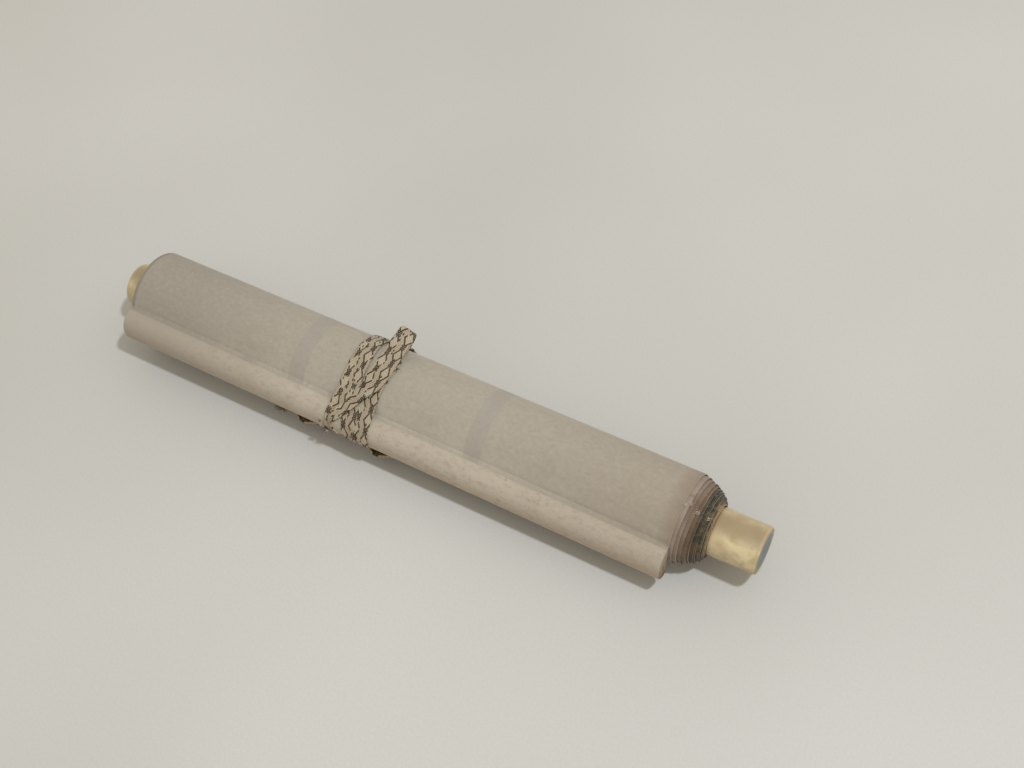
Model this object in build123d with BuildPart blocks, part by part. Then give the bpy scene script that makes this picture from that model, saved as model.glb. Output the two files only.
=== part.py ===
from build123d import *
from math import acos, atan2, cos, degrees, pi, radians, sin, sqrt
import os

# A hanging scroll, rolled up from its roller rod and tied with a flat braid.
# The roll lies along X. The origin is on the table, midway between the knobs' end faces and
# between front and back. The front, where the top stave lies, is towards -Y.

# Roller rod and its two turned end knobs
rod_radius = 12.75
rod_length = 343.0
tenon_radius = 6.0
tenon_length = 14.0
knob_radius = 13.0
knob_length = 26.0
knob_rim_bevel = 1.2
knob_rim_round = 0.5
socket_clearance = 0.1
socket_end_gap = 0.5

# Mounted sheet of silk and paper
sheet_width = 339.0
sheet_thickness = 0.6
turn_gap = 0.25
half_turns = 26
glue_line = 0.1
core_edge_gap = 0.1
edge_drift = 15.5
drift_power = 2.3
flat_spot_sag = 0.4
leave_angle = 59.0

# Top stave, a half round batten that the sheet's last edge is wrapped about
stave_width = 17.0
stave_depth = 7.9
stave_edge_radius = 0.8
stave_gap = 0.05
stave_height = 24.75
stave_tilt = 11.0
stave_lean_out = 0.5
stave_drop = 3.8
wrap_seat_gap = 0.15
web_root = 1.3

# Two thin ribbons that hang from the stave and are rolled in under the outermost turn
ribbon_width = 9.9
ribbon_thickness = 0.17
ribbon_clearance = 0.04
left_ribbon_x = -68.7
right_ribbon_x = 42.5
ribbon_end_angle = 150.0

# Staples in the stave's outer edge, and the hanging cord between them
eyelet_wire = 1.2
eyelet_width = 5.0
eyelet_depth = 9.5
eyelet_bend = 1.8
eyelet_tilt = 20.0
eyelet_root_depth = 3.4
eyelet_root_rise = 3.4
eyelet_clearance = 0.05
left_eyelet_x = -79.0
right_eyelet_x = 57.0
cord_width = 6.0
cord_thickness = 1.0
cord_offset = 0.5
knot_length = 13.0
knot_width = 6.0
knot_thickness = 3.6
knot_round = 1.2

# Tie ribbon, a flat braid wound round the roll and crossed over itself
tie_width = 11.0
tie_thickness = 0.8
tie_clearance = 0.2
tie_pressed = 0.5
tie_left_x = -36.0
tie_left_slant = -8.5
tie_right_x = -20.5
tie_right_slant = 8.0
cross_top_x = -19.5
cross_front_x = -44.0
cross_facing = 45.0
cross_depth = 12.0
cross_low = -24.5
cross_high = 17.5
loop_reach = 24.0
loop_root = 6.0
loop_rise = 3.0
loop_space = 0.6
loop_x = -21.0
loop_turn = 8.0

# Derived sizes
turn_step = (sheet_thickness + turn_gap) / 2
core_radius = rod_radius + glue_line + turn_step / 2
outer_radius = core_radius + half_turns * turn_step
roll_radius = outer_radius + sheet_thickness
axis_z = tie_pressed + turn_step / 2 + roll_radius - 2 * turn_step - flat_spot_sag
front_centre_z = axis_z - turn_step / 2
back_centre_z = axis_z + turn_step / 2
core_right_x = rod_length / 2 - core_edge_gap
right_edge_x = core_right_x - edge_drift
left_edge_x = right_edge_x - sheet_width
middle_x = (left_edge_x + right_edge_x) / 2
wrap_lift = stave_gap + sheet_thickness
stave_radius = (stave_width**2 / 4 + stave_depth**2) / (2 * stave_depth)
stave_in = Vector(cos(radians(stave_tilt)), -sin(radians(stave_tilt)))
stave_up = Vector(sin(radians(stave_tilt)), cos(radians(stave_tilt)))
stave_seat = roll_radius - 2 * turn_step + wrap_seat_gap + wrap_lift + stave_lean_out / 2
stave_out = (stave_seat - (stave_height - axis_z) * stave_up.X) / stave_up.Y
stave_bulge = stave_radius - (stave_radius - stave_depth) * stave_in.X
back_reach = roll_radius + tie_clearance + tie_thickness
front_reach = stave_out + stave_bulge + wrap_lift + tie_clearance + 2 * tie_thickness
axis_y = (front_reach - back_reach) / 2
ring_span = 4 * roll_radius
roll_centre = Vector(axis_y, axis_z)


def flat_sag(index):
    """How far the foot of a half turn is pressed in by the roll's weight."""
    if index >= half_turns - 2:
        return flat_spot_sag
    if index >= half_turns - 4:
        return flat_spot_sag / 2
    return 0.0


def seam_x(seam):
    """Right edge of the sheet where one half turn meets the next, stepped out like a telescope."""
    return core_right_x - edge_drift * (seam / half_turns) ** drift_power


def stave_point(x, inwards, up):
    """Point of the stave's section as Y and Z, from the middle of its flat side.
    The stave drops and leans out a little towards the right end."""
    share = (x - middle_x) / sheet_width
    drop = stave_drop * share
    lean = (stave_lean_out * share + drop * stave_up.X) / stave_up.Y
    return Vector(axis_y - stave_out - lean, stave_height - drop) + stave_in * inwards + stave_up * up


def wall_edge(radius, centre_z, side, top_x, foot_x, end_angle):
    """Arc of one wall's end, from its top seam, on the slanted plane that gives its drift."""
    slope = (top_x - foot_x) / (radius * (1 - cos(end_angle)))
    centre = Vector(top_x - slope * radius, axis_y, centre_z)
    along = Vector(slope, 0, 1)
    slanted = Plane(origin=centre, x_dir=along, z_dir=along.cross(Vector(0, side, 0)))
    return Edge.make_ellipse(
        radius * along.length, radius, plane=slanted, start_angle=0, end_angle=degrees(end_angle)
    )


def turn_end(index):
    """End faces of one half turn, as a strip from its inner wall to its outer wall."""
    side = 1 if index % 2 else -1
    centre_z = back_centre_z if side > 0 else front_centre_z
    inner = core_radius + index * turn_step
    outer = inner + sheet_thickness
    top_x, foot_x = (seam_x(index + 1), seam_x(index)) if side > 0 else (seam_x(index), seam_x(index + 1))
    sag = flat_sag(index)
    if sag == 0:
        walls = [wall_edge(r, centre_z, side, top_x, foot_x, pi) for r in (inner, outer)]
        return [Face.make_surface_from_curves(*walls)]
    corner_x = foot_x + (top_x - foot_x) * sag / roll_radius
    walls = [
        wall_edge(r, centre_z, side, top_x, corner_x, pi - acos((r - sag) / r)) for r in (inner, outer)
    ]
    inner_y = axis_y + side * sqrt(inner**2 - (inner - sag) ** 2)
    outer_y = axis_y + side * sqrt(outer**2 - (outer - sag) ** 2)
    inner_z = centre_z - inner + sag
    outer_z = centre_z - outer + sag
    foot = [
        Edge.make_line((corner_x, inner_y, inner_z), (foot_x, axis_y, inner_z)),
        Edge.make_line((corner_x, outer_y, outer_z), (foot_x, axis_y, outer_z)),
    ]
    return [Face.make_surface_from_curves(*walls), Face.make_surface_from_curves(*foot)]


def last_arc_point(radius):
    """Point of the outermost turn where it leaves the roll for the stave."""
    angle = radians(leave_angle)
    return (axis_y - radius * sin(angle), front_centre_z + radius * cos(angle))


def tangent_points(roll_r, stave_r, x, below):
    """Ends of the straight run that spans from the roll to the stave's round side."""
    centre = stave_point(x, stave_radius - stave_depth, 0)
    between = centre - roll_centre
    swing = acos((roll_r - stave_r) / between.length)
    angle = atan2(between.Y, between.X) % (2 * pi) + (swing if below else -swing)
    way = Vector(cos(angle), sin(angle))
    return roll_centre + way * roll_r, centre + way * stave_r


def wound_outline(lift, x):
    """Closed line round the roll and the stave, as a band pulled tight would lie."""
    roll_r = roll_radius + lift
    stave_r = stave_radius + wrap_lift + lift
    roll_top, stave_top = tangent_points(roll_r, stave_r, x, False)
    roll_foot, stave_foot = tangent_points(roll_r, stave_r, x, True)
    bulge = stave_point(x, stave_radius - stave_depth, 0) - Vector(stave_r, 0)
    return [
        ThreePointArc(roll_foot, roll_centre + Vector(roll_r, 0), roll_top),
        Line(roll_top, stave_top),
        ThreePointArc(stave_top, bulge, stave_foot),
        Line(stave_foot, roll_foot),
    ]


def stave_face(lift, x):
    """Half round section, flat side towards the roll and round side outwards."""
    flat = stave_point(x, 0, 0)
    with BuildSketch(Plane((x, flat.X, flat.Y), x_dir=(0, stave_in.X, stave_in.Y), z_dir=(1, 0, 0))) as section:
        with Locations((stave_radius - stave_depth, 0)):
            Circle(stave_radius + lift)
        with Locations((lift, 0)):
            Rectangle(4 * stave_depth, 2 * stave_width, align=(Align.MAX, Align.CENTER), mode=Mode.INTERSECT)
        fillet(section.vertices(), radius=stave_edge_radius + lift)
    return section.sketch


# Roller rod, with a tenon at each end for the knobs
rod_section = Plane(origin=(-rod_length / 2, axis_y, axis_z), x_dir=(0, 1, 0), z_dir=(1, 0, 0))
with BuildPart() as roller_rod:
    with BuildSketch(rod_section):
        Circle(rod_radius)
    extrude(amount=rod_length)
    with BuildSketch(rod_section.offset(-tenon_length)):
        Circle(tenon_radius)
    extrude(amount=rod_length + 2 * tenon_length)
roller_rod.part.label = "roller_rod"

# Right knob, turned with a narrow bevel round its end face and bored for the tenon
with BuildPart() as right_roller_knob:
    with BuildSketch(rod_section.offset(rod_length)):
        Circle(knob_radius)
    extrude(amount=knob_length)
    rim = right_roller_knob.faces().sort_by(Axis.X)[-1].edges()
    chamfer(rim, length=knob_rim_bevel, length2=knob_rim_bevel / 2)
    shoulder = right_roller_knob.faces().sort_by(Axis.X)[0].edges()
    fillet(shoulder, radius=knob_rim_round)
    with BuildSketch(rod_section.offset(rod_length)):
        Circle(tenon_radius + socket_clearance)
    extrude(amount=tenon_length + socket_end_gap, mode=Mode.SUBTRACT)
right_roller_knob.part.label = "right_roller_knob"

with BuildPart() as left_roller_knob:
    mirror(right_roller_knob.part, about=Plane.YZ)
left_roller_knob.part.label = "left_roller_knob"

# Stave, cut short of the wrap's ends, which are folded shut
stave_short = wrap_lift
bore_short = sheet_thickness
stave_fall = stave_point(right_edge_x, 0, 0) - stave_point(left_edge_x, 0, 0)
stave_way = Vector(sheet_width, stave_fall.X, stave_fall.Y)
stave_run = stave_way.length * (1 - 2 * stave_short / sheet_width)
bore_run = stave_way.length * (1 - 2 * bore_short / sheet_width)
with BuildPart() as bare_stave:
    extrude(to_extrude=stave_face(0, left_edge_x + stave_short), amount=stave_run, dir=stave_way)

# Staples driven up into the stave's outer edge
eyelets = []
eyelet_feet = []
for eyelet_name, eyelet_x in (("left_eyelet", left_eyelet_x), ("right_eyelet", right_eyelet_x)):
    seat = stave_point(eyelet_x, -eyelet_root_depth, eyelet_root_rise - stave_width / 2)
    root = Vector(eyelet_x, seat.X, seat.Y)
    down = Vector(0, sin(radians(eyelet_tilt)), -cos(radians(eyelet_tilt)))
    eyelet_plane = Plane(origin=root, x_dir=(1, 0, 0), z_dir=Vector(1, 0, 0).cross(-down))
    with BuildPart() as eyelet:
        with BuildLine(eyelet_plane) as staple:
            FilletPolyline(
                (-eyelet_width / 2, 0),
                (-eyelet_width / 2, -eyelet_depth),
                (eyelet_width / 2, -eyelet_depth),
                (eyelet_width / 2, 0),
                radius=eyelet_bend,
            )
        with BuildSketch(Plane(origin=staple.line @ 0, z_dir=staple.line % 0)):
            Circle(eyelet_wire / 2)
        sweep()
    eyelet.part.label = eyelet_name
    with BuildPart() as eyelet_room:
        with BuildSketch(Plane(origin=staple.line @ 0, z_dir=staple.line % 0)):
            Circle(eyelet_wire / 2 + eyelet_clearance)
        sweep(path=staple.line)
    eyelets.append((eyelet, eyelet_room, eyelet_plane))
    eyelet_feet.append(root + down * eyelet_depth)

with BuildPart() as top_stave:
    add(bare_stave.part)
    for eyelet, eyelet_room, eyelet_plane in eyelets:
        add(eyelet_room.part, mode=Mode.SUBTRACT)
top_stave.part.label = "top_stave"

# The sheet: stepped turns, the last arc, the web to the stave and the wrap about it
turn_faces = [face for index in range(half_turns) for face in turn_end(index)]
last_walls = [
    wall_edge(r, front_centre_z, -1, right_edge_x, right_edge_x, radians(leave_angle))
    for r in (outer_radius, roll_radius)
]
turn_faces.append(Face.make_surface_from_curves(*last_walls))
with BuildPart() as scroll_sheet:
    extrude(to_extrude=turn_faces, amount=sheet_width, dir=(-1, 0, 0))
    for end_x in (left_edge_x, right_edge_x):
        corner_up = stave_width / 2 - stave_edge_radius
        top_of_web = stave_point(end_x, -stave_edge_radius, corner_up + web_root)
        back_of_web = stave_point(end_x, web_root - stave_edge_radius, corner_up)
        with BuildSketch(Plane.YZ.offset(end_x)):
            with BuildLine():
                Polyline(
                    last_arc_point(outer_radius),
                    last_arc_point(roll_radius),
                    (top_of_web.X, top_of_web.Y),
                    (back_of_web.X, back_of_web.Y),
                    close=True,
                )
            make_face()
    loft(ruled=True)
    extrude(to_extrude=stave_face(wrap_lift, left_edge_x), amount=stave_way.length, dir=stave_way)
    bore_end = stave_face(stave_gap, left_edge_x + bore_short)
    extrude(to_extrude=bore_end, amount=bore_run, dir=stave_way, mode=Mode.SUBTRACT)
    for eyelet, eyelet_room, eyelet_plane in eyelets:
        add(eyelet_room.part, mode=Mode.SUBTRACT)
scroll_sheet.part.label = "scroll_sheet"

# Thin ribbons between the outermost turn and the one below it
ribbons = []
for ribbon_name, ribbon_x in (("left_hanging_ribbon", left_ribbon_x), ("right_hanging_ribbon", right_ribbon_x)):
    with BuildPart() as ribbon:
        with BuildSketch(Plane.YZ.offset(ribbon_x - ribbon_width / 2)):
            for centre_z, radius, start, sweep_angle in (
                (front_centre_z, outer_radius, 90, leave_angle),
                (back_centre_z, outer_radius - turn_step, 90, -ribbon_end_angle),
            ):
                with BuildLine():
                    outer_wall = radius - ribbon_clearance
                    inner = CenterArc((axis_y, centre_z), outer_wall - ribbon_thickness, start, sweep_angle)
                    outer = CenterArc((axis_y, centre_z), outer_wall, start, sweep_angle)
                    Line(inner @ 0, outer @ 0)
                    Line(inner @ 1, outer @ 1)
                make_face()
        extrude(amount=ribbon_width)
    ribbon.part.label = ribbon_name
    ribbons.append(ribbon)

# Hanging cord, a strap that lies outside the tie under the stave and is knotted to both staples
under_roll, under_stave = tangent_points(roll_radius, stave_radius + wrap_lift, middle_x, True)
cord_down = (under_roll - under_stave).normalized()
cord_from = eyelet_feet[0] + Vector(0, cord_down.Y, -cord_down.X) * cord_offset
cord_way = eyelet_feet[1] - eyelet_feet[0]
cord_plane = Plane(origin=cord_from, x_dir=(0, cord_down.X, cord_down.Y), z_dir=(1, 0, 0))
with BuildPart() as hanging_cord:
    with BuildSketch(cord_plane):
        Rectangle(cord_width, cord_thickness)
    extrude(amount=cord_way.length, dir=cord_way)
    for eyelet, eyelet_room, eyelet_plane in eyelets:
        with BuildSketch(eyelet_plane.offset(-knot_thickness / 2)):
            with Locations((0, -eyelet_depth)):
                RectangleRounded(knot_length, knot_width, knot_round)
        extrude(amount=knot_thickness)
    for eyelet, eyelet_room, eyelet_plane in eyelets:
        add(eyelet_room.part, mode=Mode.SUBTRACT)
hanging_cord.part.label = "hanging_cord"


def wound_ring(lift, start_x):
    """Tube of braid thickness wound round roll and stave, from which each strand is cut."""
    with BuildPart() as ring:
        with BuildSketch(Plane.YZ.offset(start_x)):
            with BuildLine():
                add(wound_outline(lift + tie_thickness, start_x + ring_span / 2))
            make_face()
            with Locations((0, 0)):
                Rectangle(4 * roll_radius, 4 * roll_radius, align=(Align.CENTER, Align.MIN), mode=Mode.INTERSECT)
        extrude(amount=ring_span)
        with BuildSketch(Plane.YZ.offset(start_x)):
            with BuildLine():
                add(wound_outline(lift, start_x + ring_span / 2))
            make_face()
            with Locations((0, tie_pressed)):
                Rectangle(4 * roll_radius, 4 * roll_radius, align=(Align.CENTER, Align.MIN), mode=Mode.INTERSECT)
        extrude(amount=ring_span, mode=Mode.SUBTRACT)
    return ring.part


# Left and right strands go all the way round, each a little askew
strands = []
for strand_x, strand_slant in ((tie_left_x, tie_left_slant), (tie_right_x, tie_right_slant)):
    with BuildPart() as strand:
        add(wound_ring(tie_clearance, strand_x - ring_span / 2))
        with BuildSketch(Plane.XY):
            with Locations(Location((strand_x, axis_y), -strand_slant)):
                Rectangle(tie_width, 4 * roll_radius)
        extrude(amount=4 * roll_radius, mode=Mode.INTERSECT)
    strands.append(strand)

# The last strand crosses over them, from behind the top down to the stave
facing = radians(cross_facing)
cross_plane = Plane(
    origin=(0, axis_y, axis_z), x_dir=(1, 0, 0), z_dir=(0, -cos(facing), sin(facing))
)
cross_middle_x = (cross_top_x + cross_front_x) / 2
cross_middle = (cross_low + cross_high) / 2
cross_length = sqrt((cross_top_x - cross_front_x) ** 2 + (cross_high - cross_low) ** 2)
cross_slant = degrees(atan2(cross_top_x - cross_front_x, cross_high - cross_low))
with BuildPart() as crossing:
    add(wound_ring(tie_clearance + tie_thickness, cross_middle_x - ring_span / 2))
    with BuildSketch(cross_plane.offset(cross_depth)):
        with Locations(Location((cross_middle_x, cross_middle), -cross_slant)):
            Rectangle(tie_width, cross_length)
    extrude(amount=2 * roll_radius, mode=Mode.INTERSECT)

# The strand's folded end stands off behind the top as a flat loop
loop_height = 2 * tie_thickness + loop_space
loop_z = axis_z + roll_radius + tie_clearance + tie_thickness / 2 + loop_height / 2
loop_plane = Plane(origin=(loop_x, 0, 0), x_dir=(0, 1, 0), z_dir=(1, 0, 0)).rotated((0, 0, loop_turn))
with BuildPart() as tie_ribbon:
    add(strands[0].part)
    add(strands[1].part)
    add(crossing.part)
    with BuildSketch(loop_plane.offset(-tie_width / 2)):
        with Locations(Location((axis_y + (loop_reach - loop_root) / 2, loop_z), loop_rise)):
            SlotOverall(loop_reach + loop_root, loop_height)
            SlotOverall(loop_reach + loop_root - 2 * tie_thickness, loop_space, mode=Mode.SUBTRACT)
    extrude(amount=tie_width)
tie_ribbon.part.label = "tie_ribbon"

os.makedirs("parts", exist_ok=True)
export_step(scroll_sheet.part, "parts/scroll_sheet.step")
export_step(roller_rod.part, "parts/roller_rod.step")
export_step(left_roller_knob.part, "parts/left_roller_knob.step")
export_step(right_roller_knob.part, "parts/right_roller_knob.step")
export_step(top_stave.part, "parts/top_stave.step")
for eyelet, eyelet_room, eyelet_plane in eyelets:
    export_step(eyelet.part, f"parts/{eyelet.part.label}.step")
for ribbon in ribbons:
    export_step(ribbon.part, f"parts/{ribbon.part.label}.step")
export_step(hanging_cord.part, "parts/hanging_cord.step")
export_step(tie_ribbon.part, "parts/tie_ribbon.step")
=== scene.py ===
from math import acos, atan2, cos, exp, pi, radians, sin, sqrt

import bmesh
import bpy
import numpy as np
from mathutils import Matrix, Vector


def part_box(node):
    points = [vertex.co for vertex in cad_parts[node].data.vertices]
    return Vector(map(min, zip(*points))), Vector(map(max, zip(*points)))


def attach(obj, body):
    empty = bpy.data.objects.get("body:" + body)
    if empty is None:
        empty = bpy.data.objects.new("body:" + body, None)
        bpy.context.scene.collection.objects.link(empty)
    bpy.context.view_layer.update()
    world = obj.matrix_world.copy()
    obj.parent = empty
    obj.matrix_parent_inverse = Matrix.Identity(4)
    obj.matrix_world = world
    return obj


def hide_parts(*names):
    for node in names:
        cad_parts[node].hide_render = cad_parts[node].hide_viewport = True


# Looks of a rolled and tied hanging scroll. Lengths are in metres, in the CAD frame: the roll lies
# along X, the table is at z 0 and the stave's strip faces -Y.

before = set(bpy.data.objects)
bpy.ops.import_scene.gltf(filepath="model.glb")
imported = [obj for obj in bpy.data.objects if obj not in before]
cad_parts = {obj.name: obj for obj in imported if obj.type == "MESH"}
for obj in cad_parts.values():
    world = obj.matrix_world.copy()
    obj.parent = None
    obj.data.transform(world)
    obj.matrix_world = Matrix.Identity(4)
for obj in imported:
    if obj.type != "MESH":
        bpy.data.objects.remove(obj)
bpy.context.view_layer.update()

rod_low, rod_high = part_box("roller_rod")
AXIS_Y = (rod_low.y + rod_high.y) / 2
AXIS_Z = (rod_low.z + rod_high.z) / 2

# Rolled sheet, as in the part's source
SHEET_WIDTH = 0.339
SHEET_THICKNESS = 0.0006
HALF_TURNS = 26
TURN_STEP = 0.000425
CORE_RADIUS = 0.0130625
OUTER_RADIUS = CORE_RADIUS + HALF_TURNS * TURN_STEP
ROLL_RADIUS = OUTER_RADIUS + SHEET_THICKNESS
FRONT_CENTRE_Z = AXIS_Z - TURN_STEP / 2
BACK_CENTRE_Z = AXIS_Z + TURN_STEP / 2
CORE_RIGHT_X = 0.1714
EDGE_DRIFT = 0.0155
DRIFT_POWER = 2.3
RIGHT_EDGE_X = CORE_RIGHT_X - EDGE_DRIFT
LEFT_EDGE_X = RIGHT_EDGE_X - SHEET_WIDTH
MIDDLE_X = (LEFT_EDGE_X + RIGHT_EDGE_X) / 2
LEAVE_ANGLE = radians(59)

# Numbers of the sheet's rows after its last half turn, and the height of its slow waves
ARC_END = HALF_TURNS + 0.5
CREASE = HALF_TURNS + 1.0
WRAP_START = HALF_TURNS + 1.1
WEB_SHARE = 0.94
WAVE_HEIGHT = 0.00022

# Stave inside the sheet's wrapped edge
STAVE_WIDTH = 0.017
STAVE_DEPTH = 0.0079
STAVE_EDGE = 0.0008
STAVE_RADIUS = (STAVE_WIDTH**2 / 4 + STAVE_DEPTH**2) / (2 * STAVE_DEPTH)
STAVE_TILT = radians(11)
STAVE_HEIGHT = 0.02475
STAVE_LEAN = 0.0005
STAVE_DROP = 0.0038
STAVE_SEAT = ROLL_RADIUS - 2 * TURN_STEP + 0.0008 + STAVE_LEAN / 2
STAVE_IN = np.array([cos(STAVE_TILT), -sin(STAVE_TILT)])
STAVE_UP = np.array([sin(STAVE_TILT), cos(STAVE_TILT)])
STAVE_OUT = (STAVE_SEAT - (STAVE_HEIGHT - AXIS_Z) * STAVE_UP[0]) / STAVE_UP[1]
WRAP_LIFT = 0.00035
WRAP_OUTSIDE = WRAP_LIFT + SHEET_THICKNESS / 2
WRAP_SLACK = np.array([-0.0006, -0.0019])
SLACK_DEPTH = 0.0048

# Strap and staples under the stave
STAPLE_LEFT_X = -0.079
STAPLE_RIGHT_X = 0.057
STAPLE_REACH = 0.0095
STAPLE_INSET = 0.0034
STAPLE_DOWN = np.array([sin(radians(20)), -cos(radians(20))])
STRAP_WIDTH = 0.006
STRAP_THICKNESS = 0.001
STRAP_RELIEF = 0.00014
STRAP_END_GAP = 0.0045

# Tie, with the steps of its mesh along and across
TIE_THICKNESS = 0.0008
TIE_RELIEF = 0.0002
TIE_ROW = 0.00036
TIE_COLUMN = 0.00034
LOOP_X = -0.0206

# Least heights of the tie's middle line and of its surface over the table
LINE_GAP = 0.00024
TABLE_GAP = 0.00002


def tone(red, green, painted_sky_reflection):
    """Colour written in display steps of 0 to 255, as the linear value that a shader takes."""
    steps = [value / 255 for value in (red, green, painted_sky_reflection)]
    return tuple(v / 12.92 if v < 0.04045 else ((v + 0.055) / 1.055) ** 2.4 for v in steps) + (1.0,)


class Value:
    """Output of a node. A sum with it adds the maths node for that sum to the same tree."""

    def __init__(self, recipe, socket):
        self.recipe = recipe
        self.socket = socket

    def __add__(self, other):
        return self.recipe.math("ADD", self, other)

    def __sub__(self, other):
        return self.recipe.math("SUBTRACT", self, other)

    def __mul__(self, other):
        return self.recipe.math("MULTIPLY", self, other)

    def __truediv__(self, other):
        return self.recipe.math("DIVIDE", self, other)

    def __gt__(self, other):
        return self.recipe.math("GREATER_THAN", self, other)

    def __lt__(self, other):
        return self.recipe.math("LESS_THAN", self, other)

    def __abs__(self):
        return self.recipe.math("ABSOLUTE", self)

    def span(self, low, high, to_low=0.0, to_high=1.0, smooth=False):
        """Goes from to_low to to_high while the value goes from low to high, and stays there."""
        plugs = {"Value": self, "From Min": low, "From Max": high, "To Min": to_low, "To Max": to_high}
        kind = "SMOOTHSTEP" if smooth else "LINEAR"
        return self.recipe.take("ShaderNodeMapRange", "Result", plugs, interpolation_type=kind)

    def within(self, low, high, soft):
        """Mask that is 1 between two values, with soft edges."""
        rise = self.span(low - soft, low + soft, smooth=True)
        return rise * self.span(high - soft, high + soft, 1.0, 0.0, smooth=True)


class Recipe:
    """Adds nodes to one tree and joins them, so that a recipe reads from top to bottom."""

    def __init__(self, tree):
        self.tree = tree

    def plug(self, socket, value):
        """Gives a socket a plain value or another node's output."""
        if isinstance(value, Value):
            self.tree.links.new(value.socket, socket)
        else:
            socket.default_value = value

    def add(self, kind, plugs=None, **settings):
        """New node with its settings and with what is plugged into its inputs."""
        node = self.tree.nodes.new(kind)
        for name, value in settings.items():
            setattr(node, name, value)
        for socket, value in (plugs or {}).items():
            self.plug(node.inputs[socket], value)
        return node

    def take(self, kind, output=0, plugs=None, **settings):
        """One output of a new node."""
        return Value(self, self.add(kind, plugs, **settings).outputs[output])

    def group(self, tree, plugs):
        """All outputs of a node group, by name."""
        node = self.add("ShaderNodeGroup", plugs, node_tree=tree)
        return {socket.name: Value(self, socket) for socket in node.outputs}

    def math(self, operation, *values):
        return self.take("ShaderNodeMath", 0, dict(enumerate(values)), operation=operation)

    def larger(self, first, second):
        """The larger one of two values."""
        return self.math("MAXIMUM", first, second)

    def stretched(self, place, shares):
        """Place with each of its three values times its own share."""
        return self.take("ShaderNodeVectorMath", 0, {0: place, 1: shares}, operation="MULTIPLY")

    def moved(self, place, way, length):
        """Place moved along a way by a length."""
        step = self.take("ShaderNodeVectorMath", 0, {0: way, "Scale": length}, operation="SCALE")
        return self.take("ShaderNodeVectorMath", 0, {0: place, 1: step}, operation="ADD")

    def split(self, place):
        """The three values of a place."""
        return [Value(self, part) for part in self.add("ShaderNodeSeparateXYZ", {0: place}).outputs]

    def join(self, x, y, z):
        return self.take("ShaderNodeCombineXYZ", 0, {0: x, 1: y, 2: z})

    def noise(self, place, scale, detail=2.0, roughness=0.5, output="Fac"):
        plugs = {"Vector": place, "Scale": scale, "Detail": detail, "Roughness": roughness}
        return self.take("ShaderNodeTexNoise", output, plugs)

    def chance(self, place, output="Color", **settings):
        """Random values that are the same all over one place."""
        return self.take("ShaderNodeTexWhiteNoise", output, {0: place}, **settings)

    def tint(self, share, first, second):
        """Mix of two colours, each another node's output or display steps of 0 to 255."""
        colours = [tone(*c) if isinstance(c, tuple) else c for c in (first, second)]
        plugs = dict(zip((0, 6, 7), [share, *colours]))
        return self.take("ShaderNodeMix", 2, plugs, data_type="RGBA")

    def ramp(self, value, stops):
        node = self.add("ShaderNodeValToRGB", {0: value})
        cells = node.color_ramp.elements
        while len(cells) < len(stops):
            cells.new(0.5)
        for cell, (place, colour) in zip(cells, stops):
            cell.position = place
            cell.color = tone(*colour)
        return Value(self, node.outputs["Color"])


class Finish(Recipe):
    """Recipe of a material: one surface shader whose colour is laid on in thin coats."""

    def __init__(self, name, roughness, **constants):
        """The constants stay on the shader's own sockets."""
        self.material = bpy.data.materials.new(name)
        self.material.use_nodes = True
        super().__init__(self.material.node_tree)
        self.tree.nodes.clear()
        self.shader = self.add("ShaderNodeBsdfPrincipled", {"Roughness": roughness})
        for socket, value in constants.items():
            self.shader.inputs[socket.replace("_", " ")].default_value = value
        output = self.add("ShaderNodeOutputMaterial")
        self.tree.links.new(self.shader.outputs[0], output.inputs["Surface"])

    def object_place(self):
        return self.take("ShaderNodeTexCoord", "Object")

    def label(self, name):
        """Value that the mesh keeps for each point under a name."""
        return self.take("ShaderNodeAttribute", "Fac", attribute_name=name)

    def base(self, share, first, second):
        self.body = self.tint(share, first, second)

    def coat(self, share, colour):
        """Lays a colour over the body as far as its share says."""
        self.body = self.tint(share, self.body, colour)

    def done(self, height, distance, strength, roughness=None):
        """Plugs the body's colour and relief, and its roughness where it varies."""
        self.plug(self.shader.inputs["Base Color"], self.body)
        if roughness:
            self.plug(self.shader.inputs["Roughness"], roughness)
        plugs = {"Strength": strength, "Distance": distance, "Height": height}
        self.plug(self.shader.inputs["Normal"], self.take("ShaderNodeBump", 0, plugs))
        return self.material


def new_group(kind, name, inputs, outputs):
    """Empty node group, its recipe and its inputs. A socket is told by its kind, or by its default
    value where that is a number."""
    tree = bpy.data.node_groups.new(name, kind)
    for label, value in inputs.items():
        kind_name = {float: "Float", int: "Int"}.get(type(value), value)
        socket = tree.interface.new_socket(label, in_out="INPUT", socket_type="NodeSocket" + kind_name)
        if kind_name != value:
            socket.default_value = value
    for label, kind_name in outputs.items():
        tree.interface.new_socket(label, in_out="OUTPUT", socket_type="NodeSocket" + kind_name)
    r = Recipe(tree)
    return tree, r, {socket.name: Value(r, socket) for socket in r.add("NodeGroupInput").outputs}


# Shared surface effects


def paper_fibre_group():
    """Cloudy tone, fine fibres and a soft relief for mounting paper."""
    tree, r, given = new_group(
        "ShaderNodeTree",
        "Paper fibre",
        {"Place": "Vector", "Cloud size": 30.0},
        {"Cloud": "Float", "Fibre": "Float", "Relief": "Float"},
    )
    cloud = r.noise(given["Place"], given["Cloud size"], 4.0, 0.6)
    fibre = r.noise(r.stretched(given["Place"], (1.0, 3.4, 3.4)), 900.0, 3.0, 0.7)
    cross = r.noise(given["Place"], 2600.0, 2.0, 0.6)
    sums = {"Cloud": cloud, "Fibre": fibre * 0.6 + cross * 0.4, "Relief": fibre + cloud * 2.0}
    r.add("NodeGroupOutput", sums)
    return tree


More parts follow.
